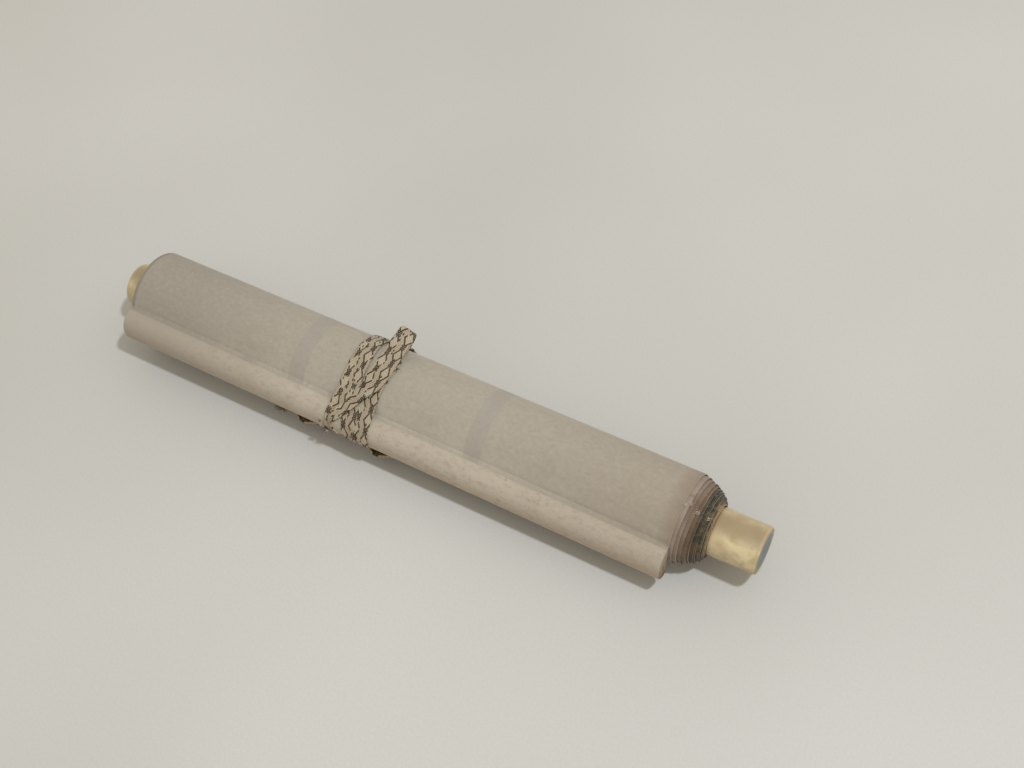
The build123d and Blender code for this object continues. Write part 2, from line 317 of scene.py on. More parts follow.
def age_spot_group():
    """Mask of small scattered age spots with soft rims."""
    tree, r, given = new_group(
        "ShaderNodeTree",
        "Age spots",
        {"Place": "Vector", "Spacing": 0.009, "Share": 0.2},
        {"Mask": "Float"},
    )
    warp = r.noise(given["Place"], 900.0, 1.0, output="Color")
    scale = r.math("DIVIDE", 1.0, given["Spacing"])
    plugs = {"Vector": r.moved(given["Place"], warp, 0.0006), "Scale": scale}
    cells = r.add("ShaderNodeTexVoronoi", plugs, feature="F1")
    from_middle = Value(r, cells.outputs["Distance"])
    kept, wide, strong = r.split(r.chance(Value(r, cells.outputs["Position"])))
    size = wide.span(0.0, 1.0, 0.04, 0.17)
    spot = from_middle.span(size, size * 0.35, smooth=True)
    r.add("NodeGroupOutput", {"Mask": spot * (kept < given["Share"]) * strong.span(0.0, 1.0, 0.35, 1.0)})
    return tree


def stitch_height(r, p, q):
    """Round height of a plait's stitches, from the numbers of its two slanted rows."""
    waves = [abs(r.math("SINE", row * pi)) for row in (p, q)]
    return r.math("POWER", waves[0] * waves[1], 0.5)


def plait_group():
    """Cells of a flat plait with two staggered rows of lozenges drawn by its dark threads."""
    tree, r, given = new_group(
        "ShaderNodeTree",
        "Plait",
        {
            "Across": 0.0,
            "Along": 0.0,
            "Cell": 0.001,
            "Slant": 0.5,
            "Lozenge width": 0.006,
            "Lozenge repeat": 0.012,
            "Line": 0.2,
        },
        {"Dark thread": "Float", "Lozenge": "Float", "Height": "Float", "Pick": "Float"},
    )
    u = given["Across"] / given["Cell"]
    v = given["Along"] * given["Slant"] / given["Cell"]
    p, q = v + u, v - u
    p_cell, q_cell = r.math("FLOOR", p), r.math("FLOOR", q)
    half_cell = given["Cell"] * 0.5
    u_cell = (p_cell - q_cell) * half_cell
    v_cell = (p_cell + q_cell + 1.0) * half_cell / given["Slant"]
    # lozenges: a diamond measure round the middle of each, half a repeat apart on the two sides
    half = given["Lozenge width"] * 0.5
    across = abs(abs(u_cell) - half) / half
    turn = v_cell / given["Lozenge repeat"] + (u_cell > 0.0) * 0.5
    along = abs(r.math("FRACT", turn) - 0.5) * 2.0
    reach = across + along
    # the dark threads follow the lozenges' lines, with gaps, filled tips and a few stray stitches
    pick = r.chance(r.join(p_cell, q_cell, 0.0), "Value", noise_dimensions="2D")
    drawn = (abs(reach - 0.98) < given["Line"]) * (pick > 0.16)
    tip = (across < 0.36) * (along > 0.72)
    dark = r.larger(r.larger(drawn, pick > 0.975), tip)
    # each stitch is an oval that lies along the braid, so a slanted line of them is stepped
    p_part, q_part = r.math("FRACT", p) - 0.5, r.math("FRACT", q) - 0.5
    wide = (p_part - q_part) / pick.span(0.0, 1.0, 0.46, 0.76)
    long = p_part + q_part
    stitch = (wide * wide + long * long).span(1.15, 0.75, smooth=True)
    r.add(
        "NodeGroupOutput",
        {
            "Dark thread": dark * stitch,
            "Lozenge": reach.span(1.0, 0.8, smooth=True),
            "Height": stitch_height(r, p, q),
            "Pick": pick,
        },
    )
    return tree


def wood_grain_group():
    """Long grain lines along X with fine pores."""
    tree, r, given = new_group(
        "ShaderNodeTree",
        "Wood grain",
        {"Place": "Vector", "Ring spacing": 0.0022},
        {"Ring": "Float", "Pore": "Float"},
    )
    wobble = r.noise(r.stretched(given["Place"], (0.06, 1.0, 1.0)), 120.0, 3.0, 0.6)
    depth = r.split(given["Place"])[2] / given["Ring spacing"] + wobble * 2.4
    pore = r.noise(r.stretched(given["Place"], (0.05, 1.0, 1.0)), 2600.0, 2.0, 0.6)
    r.add("NodeGroupOutput", {"Ring": r.math("PINGPONG", depth, 1.0), "Pore": pore})
    return tree


PAPER_FIBRE = paper_fibre_group()
AGE_SPOTS = age_spot_group()
PLAIT = plait_group()
WOOD_GRAIN = wood_grain_group()


# Backing paper. The turn is the half turn's number on the roll and goes on over the web and strip.

ROLL_TURNS = 26.6
STRIP_TURNS = 27.05
RIBBON_TURNS = (23.9, 26.9)
RIBBON_BANDS = ((-0.0738, -0.0637), (0.0375, 0.0475))
LEFT_MARGIN = (-0.1836, -0.1811)
RIGHT_MARGIN = (0.1465, 0.1555)
LEFT_BROWN = (-0.1820, -0.1829)
RIGHT_BROWN = (0.1546, 0.1556)
NICK_PLACE = (-0.1506, -0.0228, 0.0160)


def roll_coats(r, x, z, turn, blotch):
    """Painted light that makes the paper paler beside the strip, and the darker margins of the outermost turn
    at its two ends.
    """
    # painted light on the roll's lower part beside the strip
    painted_light_beside_strip = turn.span(26.46, 26.36) * z.span(AXIS_Z + 0.0165, AXIS_Z + 0.009, 0.0, 0.45)
    r.coat(painted_light_beside_strip, (196, 187, 172))
    roll = turn < ROLL_TURNS
    r.coat(x.within(*LEFT_MARGIN, 0.0002) * roll * 0.75, (128, 120, 106))
    uneven = x + blotch.span(0.3, 0.7, -0.002, 0.002)
    r.coat(uneven.span(*RIGHT_MARGIN, 0.0, 0.7) * roll, (134, 117, 99))


def ribbon_coat(r, x, turn):
    """Two bands where the ribbons lie underneath, and their mask."""
    bands = r.larger(*[x.within(*band, 0.0003) for band in RIBBON_BANDS])
    ribbon = bands * ((turn > RIBBON_TURNS[0]) * (turn < RIBBON_TURNS[1]))
    r.coat(ribbon * 0.4, (150, 143, 136))
    return ribbon


def strip_coats(r, place, x, z, turn, mottle):
    """Strip over the stave, stained and brown at its two ends, with painted shade in the crease above it and
    towards its left end, and a darker, browner tone towards its lower edge that is partly painted shade.
    """
    strip = turn > STRIP_TURNS
    r.coat(strip * 0.5, (180, 166, 148))
    # painted shade in the crease between the roll and the strip
    r.coat(turn.within(26.62, 27.02, 0.08) * 0.3, (140, 126, 108))
    # darker and browner towards the lower edge: partly the strip's own tone, partly painted shade
    r.coat(strip * z.span(0.029, 0.015, smooth=True) * 0.34, (172, 146, 114))
    stain = r.noise(r.stretched(place, (0.6, 1.0, 1.0)), 420.0, 5.0, 0.7)
    r.coat(strip * stain.span(0.5, 0.68, 0.0, 0.5), (146, 130, 106))
    # painted shade: the strip darker towards its left end, where the light falls off
    r.coat(strip * x.span(-0.06, -0.15, 0.0, 0.5), (158, 148, 133))
    right_brown = x.span(*RIGHT_BROWN) * z.span(0.0185, 0.0135)
    left_brown = x.span(*LEFT_BROWN) * z.span(0.024, 0.018, 0.0, 0.5)
    r.coat(strip * r.larger(right_brown, left_brown) * 0.85, (72, 46, 30))
    nick = r.take("ShaderNodeVectorMath", "Value", {0: place, 1: NICK_PLACE}, operation="DISTANCE")
    ragged = nick + mottle.span(0.3, 0.7, -0.0005, 0.0005)
    r.coat(ragged.span(0.0014, 0.0009, 0.0, 0.8), (96, 76, 56))
    return strip


def end_turn_silk(r, place, turn, lines):
    """Colour of the turns that stand out at the right end, from the silk next to the rod outwards,
    with the brocade's dark figures, a few greenish threads and painted shade that darkens some turns."""
    outwards = turn / float(HALF_TURNS)
    patch = r.noise(place, 150.0, 3.0, 0.6)
    silk = r.ramp(
        outwards + patch.span(0.2, 0.8, -0.08, 0.08),
        [
            (0.0, (142, 118, 80)),
            (0.2, (134, 110, 76)),
            (0.36, (98, 82, 56)),
            (0.52, (88, 70, 48)),
            (0.68, (106, 86, 68)),
            (0.82, (126, 109, 93)),
            (0.93, (148, 133, 118)),
        ],
    )
    figure = r.noise(place, 165.0, 2.0, 0.55)
    dark = outwards.within(0.2, 0.62, 0.06) * figure.span(0.42, 0.5, smooth=True)
    silk = r.tint(dark * 0.9, silk, (54, 50, 38))
    green = dark * r.noise(place, 620.0, 2.0, 0.6).span(0.52, 0.62)
    silk = r.tint(green * 0.6, silk, (92, 104, 92))
    # painted shade that darkens some turns, as in the gaps between them
    return r.tint(lines.span(0.55, 0.68, 0.0, 0.5), silk, (60, 46, 34))


def cut_edge(r, place, turn, lines):
    """Colour of the cut edges: pale threads and dust on a darker laminate, with a painted highlight on the
    edges of some turns.
    """
    thread = r.noise(place, 1500.0, 2.0, 0.8)
    cut = r.tint(thread.span(0.5, 0.66), (70, 56, 42), (176, 162, 140))
    # painted highlight on the edges of some turns
    cut = r.tint(lines.span(0.5, 0.42), cut, (168, 152, 130))
    return r.tint(turn.span(24.2, 26.2), cut, (165, 152, 137))


def backing_paper_finish():
    """Aged backing paper, with the ribbons that show through and the silk's edges at the ends."""
    r = Finish("backing_paper", 0.82, Specular_IOR_Level=0.25, Sheen_Weight=0.12)
    place = r.object_place()
    x, _, z = r.split(place)
    turn = r.label("turn")
    fibre = r.group(PAPER_FIBRE, {"Place": place, "Cloud size": 26.0})
    blotch = r.noise(r.stretched(place, (0.6, 1.0, 1.0)), 75.0, 4.0, 0.65)
    mottle = r.noise(r.stretched(place, (0.7, 1.0, 1.0)), 480.0, 5.0, 0.75)
    r.base(fibre["Cloud"].span(0.3, 0.7), (169, 160, 145), (182, 173, 157))
    r.coat(fibre["Fibre"].span(0.35, 0.7, 0.0, 0.35), (190, 180, 164))
    r.coat(blotch.span(0.54, 0.66, 0.0, 0.6), (150, 140, 124))
    r.coat(blotch.span(0.46, 0.34, 0.0, 0.5), (190, 181, 165))
    # painted shade: the paper darker towards the top of the roll and towards both ends, where the light falls
    # off
    r.coat(z.span(AXIS_Z + 0.006, AXIS_Z + 0.023, 0.0, 0.85), (160, 152, 137))
    r.coat(x.span(-0.06, -0.15, 0.0, 0.85), (148, 140, 127))
    r.coat(x.span(0.045, 0.14, 0.0, 0.95), (156, 145, 129))
    r.coat(mottle.span(0.5, 0.7, 0.0, 0.34), (144, 132, 114))
    r.coat(mottle.span(0.5, 0.3, 0.0, 0.16), (200, 192, 176))
    roll_coats(r, x, z, turn, blotch)
    ribbon = ribbon_coat(r, x, turn)
    strip = strip_coats(r, place, x, z, turn, mottle)
    spots = r.group(AGE_SPOTS, {"Place": place, "Spacing": 0.0064, "Share": 0.34})
    r.coat(spots["Mask"] * strip.span(0.0, 1.0, 0.28, 0.75), (142, 116, 84))
    specks = r.group(AGE_SPOTS, {"Place": place, "Spacing": 0.0031, "Share": 0.1})
    r.coat(specks["Mask"] * 0.22, (120, 100, 78))
    # noise along the turns that places the painted highlights and painted shade at the right end
    lines = r.noise(r.join(turn, 0.0, 0.0), 1.3, 1.0, 0.5)
    r.coat(turn.span(25.9, 24.3, smooth=True), end_turn_silk(r, place, turn, lines))
    r.coat(r.label("rim") * 0.85, cut_edge(r, place, turn, lines))
    rough = fibre["Cloud"].span(0.3, 0.7, 0.76, 0.88)
    return r.done(fibre["Relief"] + ribbon * 0.6, 0.00006, 0.5, rough)


# Finishes of the other pieces


def folded_end_finish():
    """Paper folded shut over the stave's ends, darker than the sheet with painted shade, darker and browner
    towards its bottom, with a dark brown lower edge and painted shade in its folds.
    """
    r = Finish("folded_paper", 0.85, Specular_IOR_Level=0.2)
    place = r.object_place()
    z = r.split(place)[2]
    fibre = r.group(PAPER_FIBRE, {"Place": place, "Cloud size": 160.0})
    # painted shade: the base darker than the sheet's paper
    r.base(fibre["Cloud"], (142, 124, 104), (168, 154, 136))
    r.coat(z.span(0.026, 0.014, 0.0, 0.6), (112, 84, 58))
    r.coat(z.span(0.0175, 0.0130, 0.0, 0.8), (70, 44, 28))
    # dark brown edge along the lower right, and painted shade in the pleats' creases
    r.coat(r.label("fold") * 0.9, (66, 42, 27))
    return r.done(fibre["Relief"], 0.0001, 0.7)


def braid_finish(name, light, dark, line):
    """Plaited silk: pale threads with the dark threads' lozenges."""
    r = Finish(name, 0.72, Specular_IOR_Level=0.25, Sheen_Weight=0.06, Sheen_Roughness=0.4)
    across, along, _ = r.split(r.take("ShaderNodeUVMap", uv_map="flat"))
    plait = r.group(PLAIT, {"Across": across, "Along": along, "Line": line})
    place = r.join(across, along * 0.45, 0.0)
    fray = r.noise(place, 3200.0, 2.0, 0.7)
    worn = r.noise(place, 130.0, 3.0, 0.6)
    r.base(plait["Pick"] * 0.6, light, (196, 183, 158))
    r.coat(plait["Lozenge"].span(0.0, 1.0, 0.4, 0.0), (156, 140, 116))
    r.coat(worn.span(0.42, 0.75, 0.0, 0.5), (150, 133, 108))
    # painted shade in the gaps between the stitches
    r.coat(plait["Height"].span(0.15, 0.75, 0.5, 0.0), (128, 110, 86))
    r.coat(plait["Dark thread"] * 0.96, r.tint(fray.span(0.5, 0.76), dark, (66, 48, 30)))
    rough = fray.span(0.3, 0.7, 0.6, 0.8)
    return r.done(plait["Height"] + fray * 0.6, 0.00022, 0.8, rough)


def thread_finish():
    """Loose ends of the braid, some pale and some dark."""
    r = Finish("loose_thread", 0.75, Sheen_Weight=0.2)
    place = r.object_place()
    r.base(r.noise(place, 420.0, 1.0, 0.5).span(0.44, 0.56), (86, 64, 42), (186, 172, 146))
    return r.done(r.noise(place, 5000.0), 0.00005, 0.6)


def frayed_silk_finish():
    """White threads frayed out of the silk's cut edges."""
    r = Finish("frayed_silk", 0.7, Sheen_Weight=0.1)
    place = r.object_place()
    r.base(r.noise(place, 700.0, 1.0, 0.5).span(0.4, 0.6), (176, 166, 148), (214, 207, 194))
    return r.done(r.noise(place, 5000.0), 0.00004, 0.5)


KNOB_RIM = (0.1960, 0.1968)
KNOB_FACE = (0.19738, 0.19746)
KNOB_SEAT = (0.1735, 0.1715)


def knob_finish():
    """Polished cream knob, mottled, with its rim rubbed, painted shade over its top, below its middle and on
    its end face, and a painted sky reflection on the end face.
    """
    r = Finish("knob", 0.36, Specular_IOR_Level=0.5, Coat_Weight=0.12, Coat_Roughness=0.2)
    place = r.object_place()
    x, y, z = r.split(place)
    cloud = r.noise(place, 120.0, 4.0, 0.6)
    pool = r.noise(r.stretched(place, (0.6, 1.0, 1.0)), 55.0, 2.0, 0.5)
    grain = r.noise(r.stretched(place, (0.25, 1.0, 1.0)), 1400.0, 2.0, 0.7)
    r.base(cloud.span(0.4, 0.6), (180, 161, 120), (208, 191, 151))
    r.coat(pool.span(0.5, 0.66, 0.0, 0.8), (176, 150, 112))
    r.coat(pool.span(0.42, 0.2, 0.0, 0.5), (172, 160, 112))
    r.coat(grain.span(0.6, 0.8, 0.0, 0.35), (160, 136, 92))
    # painted shade over the top and below the middle, which leaves a lighter band across the middle
    r.coat(z.span(AXIS_Z + 0.0100, AXIS_Z + 0.0129, 0.0, 0.9), (148, 129, 97))
    r.coat(z.span(AXIS_Z + 0.003, AXIS_Z - 0.006, 0.0, 0.5), (146, 127, 93))
    # rim, end face with painted shade and a ragged bluish grey disc of painted sky reflection on it, and the
    # seat next to the roll
    end = abs(x)
    r.coat(end.within(*KNOB_RIM, 0.0002) * 0.5, (186, 162, 114))
    face = end.span(*KNOB_FACE)
    r.coat(face * 0.8, (126, 114, 86))
    off_y, off_z = y - AXIS_Y, z - AXIS_Z
    out = r.math("SQRT", off_y * off_y + off_z * off_z)
    ragged = out + cloud.span(0.3, 0.7, -0.0003, 0.0003)
    painted_sky_reflection = r.tint(cloud.span(0.3, 0.7), (58, 72, 80), (86, 100, 106))
    r.coat(face * ragged.span(0.0098, 0.0092), painted_sky_reflection)
    r.coat(end.span(*KNOB_SEAT) * 0.5, (134, 110, 70))
    return r.done(grain + cloud * 2.0, 0.00005, 0.35, cloud.span(0.3, 0.7, 0.3, 0.46))


def wood_finish(name, pale, dark):
    """Plain planed wood with its grain along the piece."""
    r = Finish(name, 0.66, Specular_IOR_Level=0.3)
    grain = r.group(WOOD_GRAIN, {"Place": r.object_place()})
    r.base(grain["Ring"], dark, pale)
    r.coat(grain["Pore"].span(0.58, 0.75, 0.0, 0.7), dark)
    return r.done(grain["Pore"], 0.00008, 0.5, grain["Ring"].span(0.0, 1.0, 0.58, 0.72))


def staple_finish():
    """Dull brass wire with brown tarnish."""
    r = Finish("eyelet_metal", 0.42, Metallic=1.0)
    tarnish = r.noise(r.object_place(), 700.0, 4.0, 0.65)
    r.base(tarnish.span(0.42, 0.62), (188, 150, 84), (92, 70, 44))
    return r.done(tarnish, 0.00004, 0.5, tarnish.span(0.35, 0.7, 0.3, 0.66))


def ribbon_silk_finish():
    """Plain woven silk of the two thin ribbons."""
    r = Finish("ribbon_silk", 0.5, Sheen_Weight=0.3)
    place = r.object_place()
    x, y, z = r.split(place)
    warp = r.math("SINE", x * (2 * pi / 0.0004))
    weave = warp * r.math("SINE", (y + z) * (2 * pi / 0.0005))
    r.base(weave.span(-1.0, 1.0), (128, 126, 128), (158, 155, 154))
    r.coat(r.noise(place, 90.0), (140, 134, 126))
    return r.done(weave, 0.00004, 0.6)


def table_finish():
    """Plain pale board with the faintest grain."""
    r = Finish("table_top", 0.6, Specular_IOR_Level=0.2)
    place = r.object_place()
    grit = r.noise(place, 700.0, 2.0, 0.7)
    r.base(r.noise(place, 2.6, 2.0, 0.5).span(0.3, 0.7), (188, 186, 179), (201, 199, 193))
    r.coat(grit.span(0.35, 0.65, 0.0, 0.16), (172, 168, 158))
    return r.done(grit, 0.00003, 0.3)


# Objects and lines


def new_object(name, data):
    """New object in the scene."""
    thing = bpy.data.objects.new(name, data)
    bpy.context.scene.collection.objects.link(thing)
    return thing


def drop(thing):
    """Takes a helper object out of the scene."""
    bpy.data.objects.remove(thing)


def new_mesh(name, verts, edges=(), faces=()):
    mesh = bpy.data.meshes.new(name)
    mesh.from_pydata([tuple(p) for p in verts], edges, faces)
    return mesh


def keep_label(mesh, label, values):
    """Keeps a number or a way for each point of a mesh under a label."""
    values = np.asarray(values, np.float32)
    kind, field = ("FLOAT_VECTOR", "vector") if values.ndim == 2 else ("FLOAT", "value")
    mesh.attributes.new(label, kind, "POINT").data.foreach_set(field, values.ravel())


def keep_flat(mesh, across, along):
    """Keeps each point's place on the flat braid or sheet, for the finishes."""
    index = np.zeros(len(mesh.loops), int)
    mesh.loops.foreach_get("vertex_index", index)
    places = np.stack([across[index], along[index]], 1).astype(np.float32)
    mesh.uv_layers.new(name="flat").data.foreach_set("uv", places.ravel())


def run_along(places):
    """Length from the first place on a line to each of its places."""
    return np.concatenate([[0], np.cumsum(np.linalg.norm(np.diff(places, axis=0), axis=1))])


def unit(ways):
    """Ways with a length of 1."""
    return ways / np.linalg.norm(ways, axis=1)[:, None]


def smooth_rows(points, count):
    """Evenly spaced rows on a smooth line through control rows that start with the place."""
    points = np.asarray(points, float)
    padded = np.vstack([2 * points[0] - points[1], points, 2 * points[-1] - points[-2]])
    fine = []
    steps = 24
    for i in range(1, len(padded) - 2):
        a, b, c, d = padded[i - 1 : i + 3]
        square, cube = 2 * a - 5 * b + 4 * c - d, 3 * b - a - 3 * c + d
        for t in np.arange(steps) / steps:
            fine.append(0.5 * (2 * b + (c - a) * t + square * t**2 + cube * t**3))
    fine.append(padded[-2])
    fine = np.array(fine)
    run = run_along(fine[:, :3])
    even = np.linspace(0, run[-1], count)
    return np.stack([np.interp(even, run, column) for column in fine.T], 1)


# Strips laid on paths


def path_object(name, places, spans, rises, depths, turns):
    """Line of points that carries a strip's span, outward way, thickness and turn for each row."""
    mesh = new_mesh(name, places, edges=[(i, i + 1) for i in range(len(places) - 1)])
    for label, values in (("span", spans), ("rise", rises), ("depth", depths), ("turn", turns)):
        keep_label(mesh, label, values)
    return new_object(name, mesh)


def ring_faces(rings, size):
    """Faces between closed rings of points, each ring with the same number of points."""
    faces = []
    for start in range(0, (rings - 1) * size, size):
        for k in range(size):
            a, b = start + k, start + (k + 1) % size
            faces.append((a, b, b + size, a + size))
    return faces


def flat_strip(name, alongs, width, outer_shares, inner_shares):
    """Flat strip with thickness: x is the share across, y the row, z the share of the thickness.
    The width may be one value or one for each row."""
    ring = [(u, 0.5, 0.0) for u in outer_shares] + [(1.0, 0.25, 1.0), (1.0, -0.25, 1.0)]
    ring += [(u, -0.5, 0.0) for u in inner_shares[::-1]] + [(0.0, -0.25, 1.0), (0.0, 0.25, 1.0)]
    rows, size = len(alongs), len(ring)
    faces = ring_faces(rows, size)
    faces.append(tuple(reversed(range(size))))
    faces.append(tuple((rows - 1) * size + k for k in range(size)))
    mesh = new_mesh(name, [(u, float(row), h) for row in range(rows) for u, h, _ in ring], faces=faces)
    shares, _, rims = np.array(ring).T
    keep_flat(mesh, np.outer(np.broadcast_to(width, rows), shares - 0.5).ravel(), np.repeat(alongs, size))
    keep_label(mesh, "rim", np.tile(rims, rows))
    return new_object(name, mesh)


def close_tree(r, output, geometry, finish):
    """Makes what was built real, smooth and of its finish, and sends it out."""
    real = r.take("GeometryNodeRealizeInstances", 0, {"Geometry": geometry})
    smooth = r.take("GeometryNodeSetShadeSmooth", 0, {"Geometry": real})
    dressed = r.take("GeometryNodeSetMaterial", 0, {"Geometry": smooth, "Material": finish})
    r.add("NodeGroupOutput", {output: dressed})


def lay_strip_group():
    """Lays a flat strip along a path, with the relief of its plait or the slight waves of paper."""
    tree, r, given = new_group(
        "GeometryNodeTree",
        "Lay strip on path",
        {
            "Strip": "Geometry",
            "Path": "Object",
            "Width": 0.011,
            "Plait cell": 0.001,
            "Plait slant": 0.5,
            "Plait relief": 0.0,
            "Wave height": 0.0,
            "Wave size": 34.0,
            "Wave from turn": 24.6,
            "Finish": "Material",
        },
        {"Laid": "Geometry"},
    )
    path = r.take("GeometryNodeObjectInfo", "Geometry", {"Object": given["Path"]}, transform_space="ORIGINAL")
    share, row, height = r.split(r.take("GeometryNodeInputPosition"))

    def labelled(name, kind):
        return r.take("GeometryNodeInputNamedAttribute", "Attribute", {"Name": name}, data_type=kind)

    def at_row(value, kind):
        """The path's value at the strip's row."""
        plugs = {"Geometry": path, "Value": value, "Index": r.math("ROUND", row)}
        settings = {"data_type": kind, "domain": "POINT", "clamp": True}
        return r.take("GeometryNodeSampleIndex", "Value", plugs, **settings)

    start = at_row(r.take("GeometryNodeInputPosition"), "FLOAT_VECTOR")
    span, rise = [at_row(labelled(name, "FLOAT_VECTOR"), "FLOAT_VECTOR") for name in ("span", "rise")]
    depth, turn = [at_row(labelled(name, "FLOAT"), "FLOAT") for name in ("depth", "turn")]
    on_path = r.moved(start, span, share)
    u = (share - 0.5) * given["Width"] / given["Plait cell"]
    v = turn * given["Plait slant"] / given["Plait cell"]
    relief = stitch_height(r, v + u, v - u) * given["Plait relief"] * r.math("SIGN", height)
    # slow waves of the paper, outwards only, on the turns from the given one
    open_turn = turn.span(given["Wave from turn"], given["Wave from turn"] + 0.5)
    wave = r.noise(on_path, given["Wave size"], 2.0, 0.5) * given["Wave height"] * open_turn
    lift = height * depth + (relief + wave)
    plugs = {"Geometry": given["Strip"], "Name": "turn", "Value": turn}
    kept = r.take("GeometryNodeStoreNamedAttribute", 0, plugs, data_type="FLOAT", domain="POINT")
    plugs = {"Geometry": kept, "Position": r.moved(on_path, rise, lift)}
    close_tree(r, "Laid", r.take("GeometryNodeSetPosition", 0, plugs), given["Finish"])
    return tree


def scatter_thread_group():
    """Short bent threads that stand on the points of a line, with seeded turns and lengths."""
    tree, r, given = new_group(
        "GeometryNodeTree",
        "Scatter threads",
        {
            "Points": "Geometry",
            "Length": 0.003,
            "Radius": 0.00014,
            "Bend": 0.0012,
            "Spread": 0.6,
            "Seed": 3,
            "Finish": "Material",
        },
        {"Threads": "Geometry"},
    )
    plugs = {
        "Resolution": 6,
        "Start": (0.0, 0.0, 0.0),
        "Middle": r.join(given["Bend"], 0.0, given["Length"] * 0.5),
        "End": r.join(given["Bend"] * 0.4, given["Bend"], given["Length"]),
    }
    arc = r.take("GeometryNodeCurveQuadraticBezier", 0, plugs)
    ring = r.take("GeometryNodeCurvePrimitiveCircle", 0, {"Resolution": 5, "Radius": given["Radius"]})
    plugs = {"Curve": arc, "Profile Curve": ring, "Fill Caps": True}
    tube = r.take("GeometryNodeCurveToMesh", 0, plugs)
    plugs = {"Name": "rise"}
    way = r.take("GeometryNodeInputNamedAttribute", "Attribute", plugs, data_type="FLOAT_VECTOR")
    plugs = {0: (-1.0, -1.0, -1.0), 1: (1.0, 1.0, 1.0), "Seed": given["Seed"]}
    jitter = r.take("FunctionNodeRandomValue", 0, plugs, data_type="FLOAT_VECTOR")
    plugs = {"Vector": r.moved(way, jitter, given["Spread"])}
    turned = r.take("FunctionNodeAlignRotationToVector", 0, plugs, axis="Z")
    plugs = {2: 0.5, 3: 1.15, "Seed": given["Seed"] + 5}
    size = r.take("FunctionNodeRandomValue", 1, plugs, data_type="FLOAT")
    plugs = {
        "Points": given["Points"],
        "Instance": tube,
        "Rotation": turned,
        "Scale": r.join(size, size, size),
    }
    close_tree(r, "Threads", r.take("GeometryNodeInstanceOnPoints", 0, plugs), given["Finish"])
    return tree


LAY_STRIP = lay_strip_group()
SCATTER_THREADS = scatter_thread_group()


def mesh_of(thing, **settings):
    """Plain mesh of what an object shows."""
    graph = bpy.context.evaluated_depsgraph_get()
    return bpy.data.meshes.new_from_object(thing.evaluated_get(graph), **settings)


def apply_tree(piece, tree, inputs):
    """Runs a geometry tree on a piece and keeps its result as the piece's plain mesh."""
    modifier = piece.modifiers.new("make", "NODES")
    modifier.node_group = tree
    sockets = {s.name: s.identifier for s in tree.interface.items_tree if s.in_out == "INPUT"}
    for name, value in inputs.items():
        modifier[sockets[name]] = value
    piece.update_tag()
    bpy.context.view_layer.update()
    result = mesh_of(piece, preserve_all_data_layers=True, depsgraph=bpy.context.evaluated_depsgraph_get())
    piece.modifiers.remove(modifier)
    piece.data = result
    result.name = piece.name
    return piece


def face_outwards(piece):
    """Turns the faces of a closed strip so that they look out of it."""
    work = bmesh.new()
    work.from_mesh(piece.data)
    if work.calc_volume(signed=True) < 0:
        bmesh.ops.reverse_faces(work, faces=work.faces)
        work.to_mesh(piece.data)
    work.free()
    return piece


def lay(strip, path, finish, width, relief=0.0, waves=0.0):
    """Lays a flat strip on its path, which isn't needed any more after that."""
    settings = {
        "Path": path,
        "Width": width,
        "Plait relief": relief,
        "Wave height": waves,
        "Finish": finish,
    }
    piece = face_outwards(apply_tree(strip, LAY_STRIP, settings))
    drop(path)
    return piece


def merge(name, pieces):
    """Joins plain meshes into one piece with one origin at zero."""
    bpy.ops.object.select_all(action="DESELECT")
    for piece in pieces:
        piece.select_set(True)
    bpy.context.view_layer.objects.active = pieces[0]
    bpy.ops.object.join()
    whole = bpy.context.view_layer.objects.active
    whole.name = name
    whole.data.name = name
    return whole


# Rolled sheet


def seam_x(turn):
    """Right edge of the sheet, which steps out like a telescope towards the core, a bit unevenly."""
    share = min(turn, HALF_TURNS) / HALF_TURNS
    uneven = 0.00032 * sin(turn * 1.37 + 0.6) + 0.00022 * sin(turn * 2.9 + 1.9)
    fade = min(1.0, max(0.0, (HALF_TURNS - turn) / 2.5)) * min(1.0, turn / 3.0)
    return CORE_RIGHT_X - EDGE_DRIFT * share**DRIFT_POWER + (uneven - 0.0003) * fade


def turn_rows(first, last, per_half):
    """Middle line of the wound turns as rows of (half turn number, y, z). The table presses the
    outermost turns a little flat."""
    rows = []
    for step in range((last - first) * per_half + 1):
        turn = first + step / per_half
        index = min(int(turn + 1e-9), HALF_TURNS - 1)
        side = 1 if index % 2 else -1
        centre_z = BACK_CENTRE_Z if side > 0 else FRONT_CENTRE_Z
        radius = CORE_RADIUS + index * TURN_STEP + SHEET_THICKNESS / 2
        angle = pi * (turn - index)
        flat = 0.0004 if index >= HALF_TURNS - 2 else 0.0002 if index >= HALF_TURNS - 4 else 0.0
        z = max(centre_z - side * radius * cos(angle), centre_z - radius + flat)
        rows.append((turn, AXIS_Y + side * radius * sin(angle), z))
    return rows


def stave_point(x, inwards, up):
    """Place (y, z) in the stave's section at x, from the middle of its flat side."""
    share = (x - MIDDLE_X) / SHEET_WIDTH
    fall = STAVE_DROP * share
    lean = (STAVE_LEAN * share + fall * STAVE_UP[0]) / STAVE_UP[1]
    middle = np.array([AXIS_Y - STAVE_OUT - lean, STAVE_HEIGHT - fall])
    return middle + STAVE_IN * inwards + STAVE_UP * up


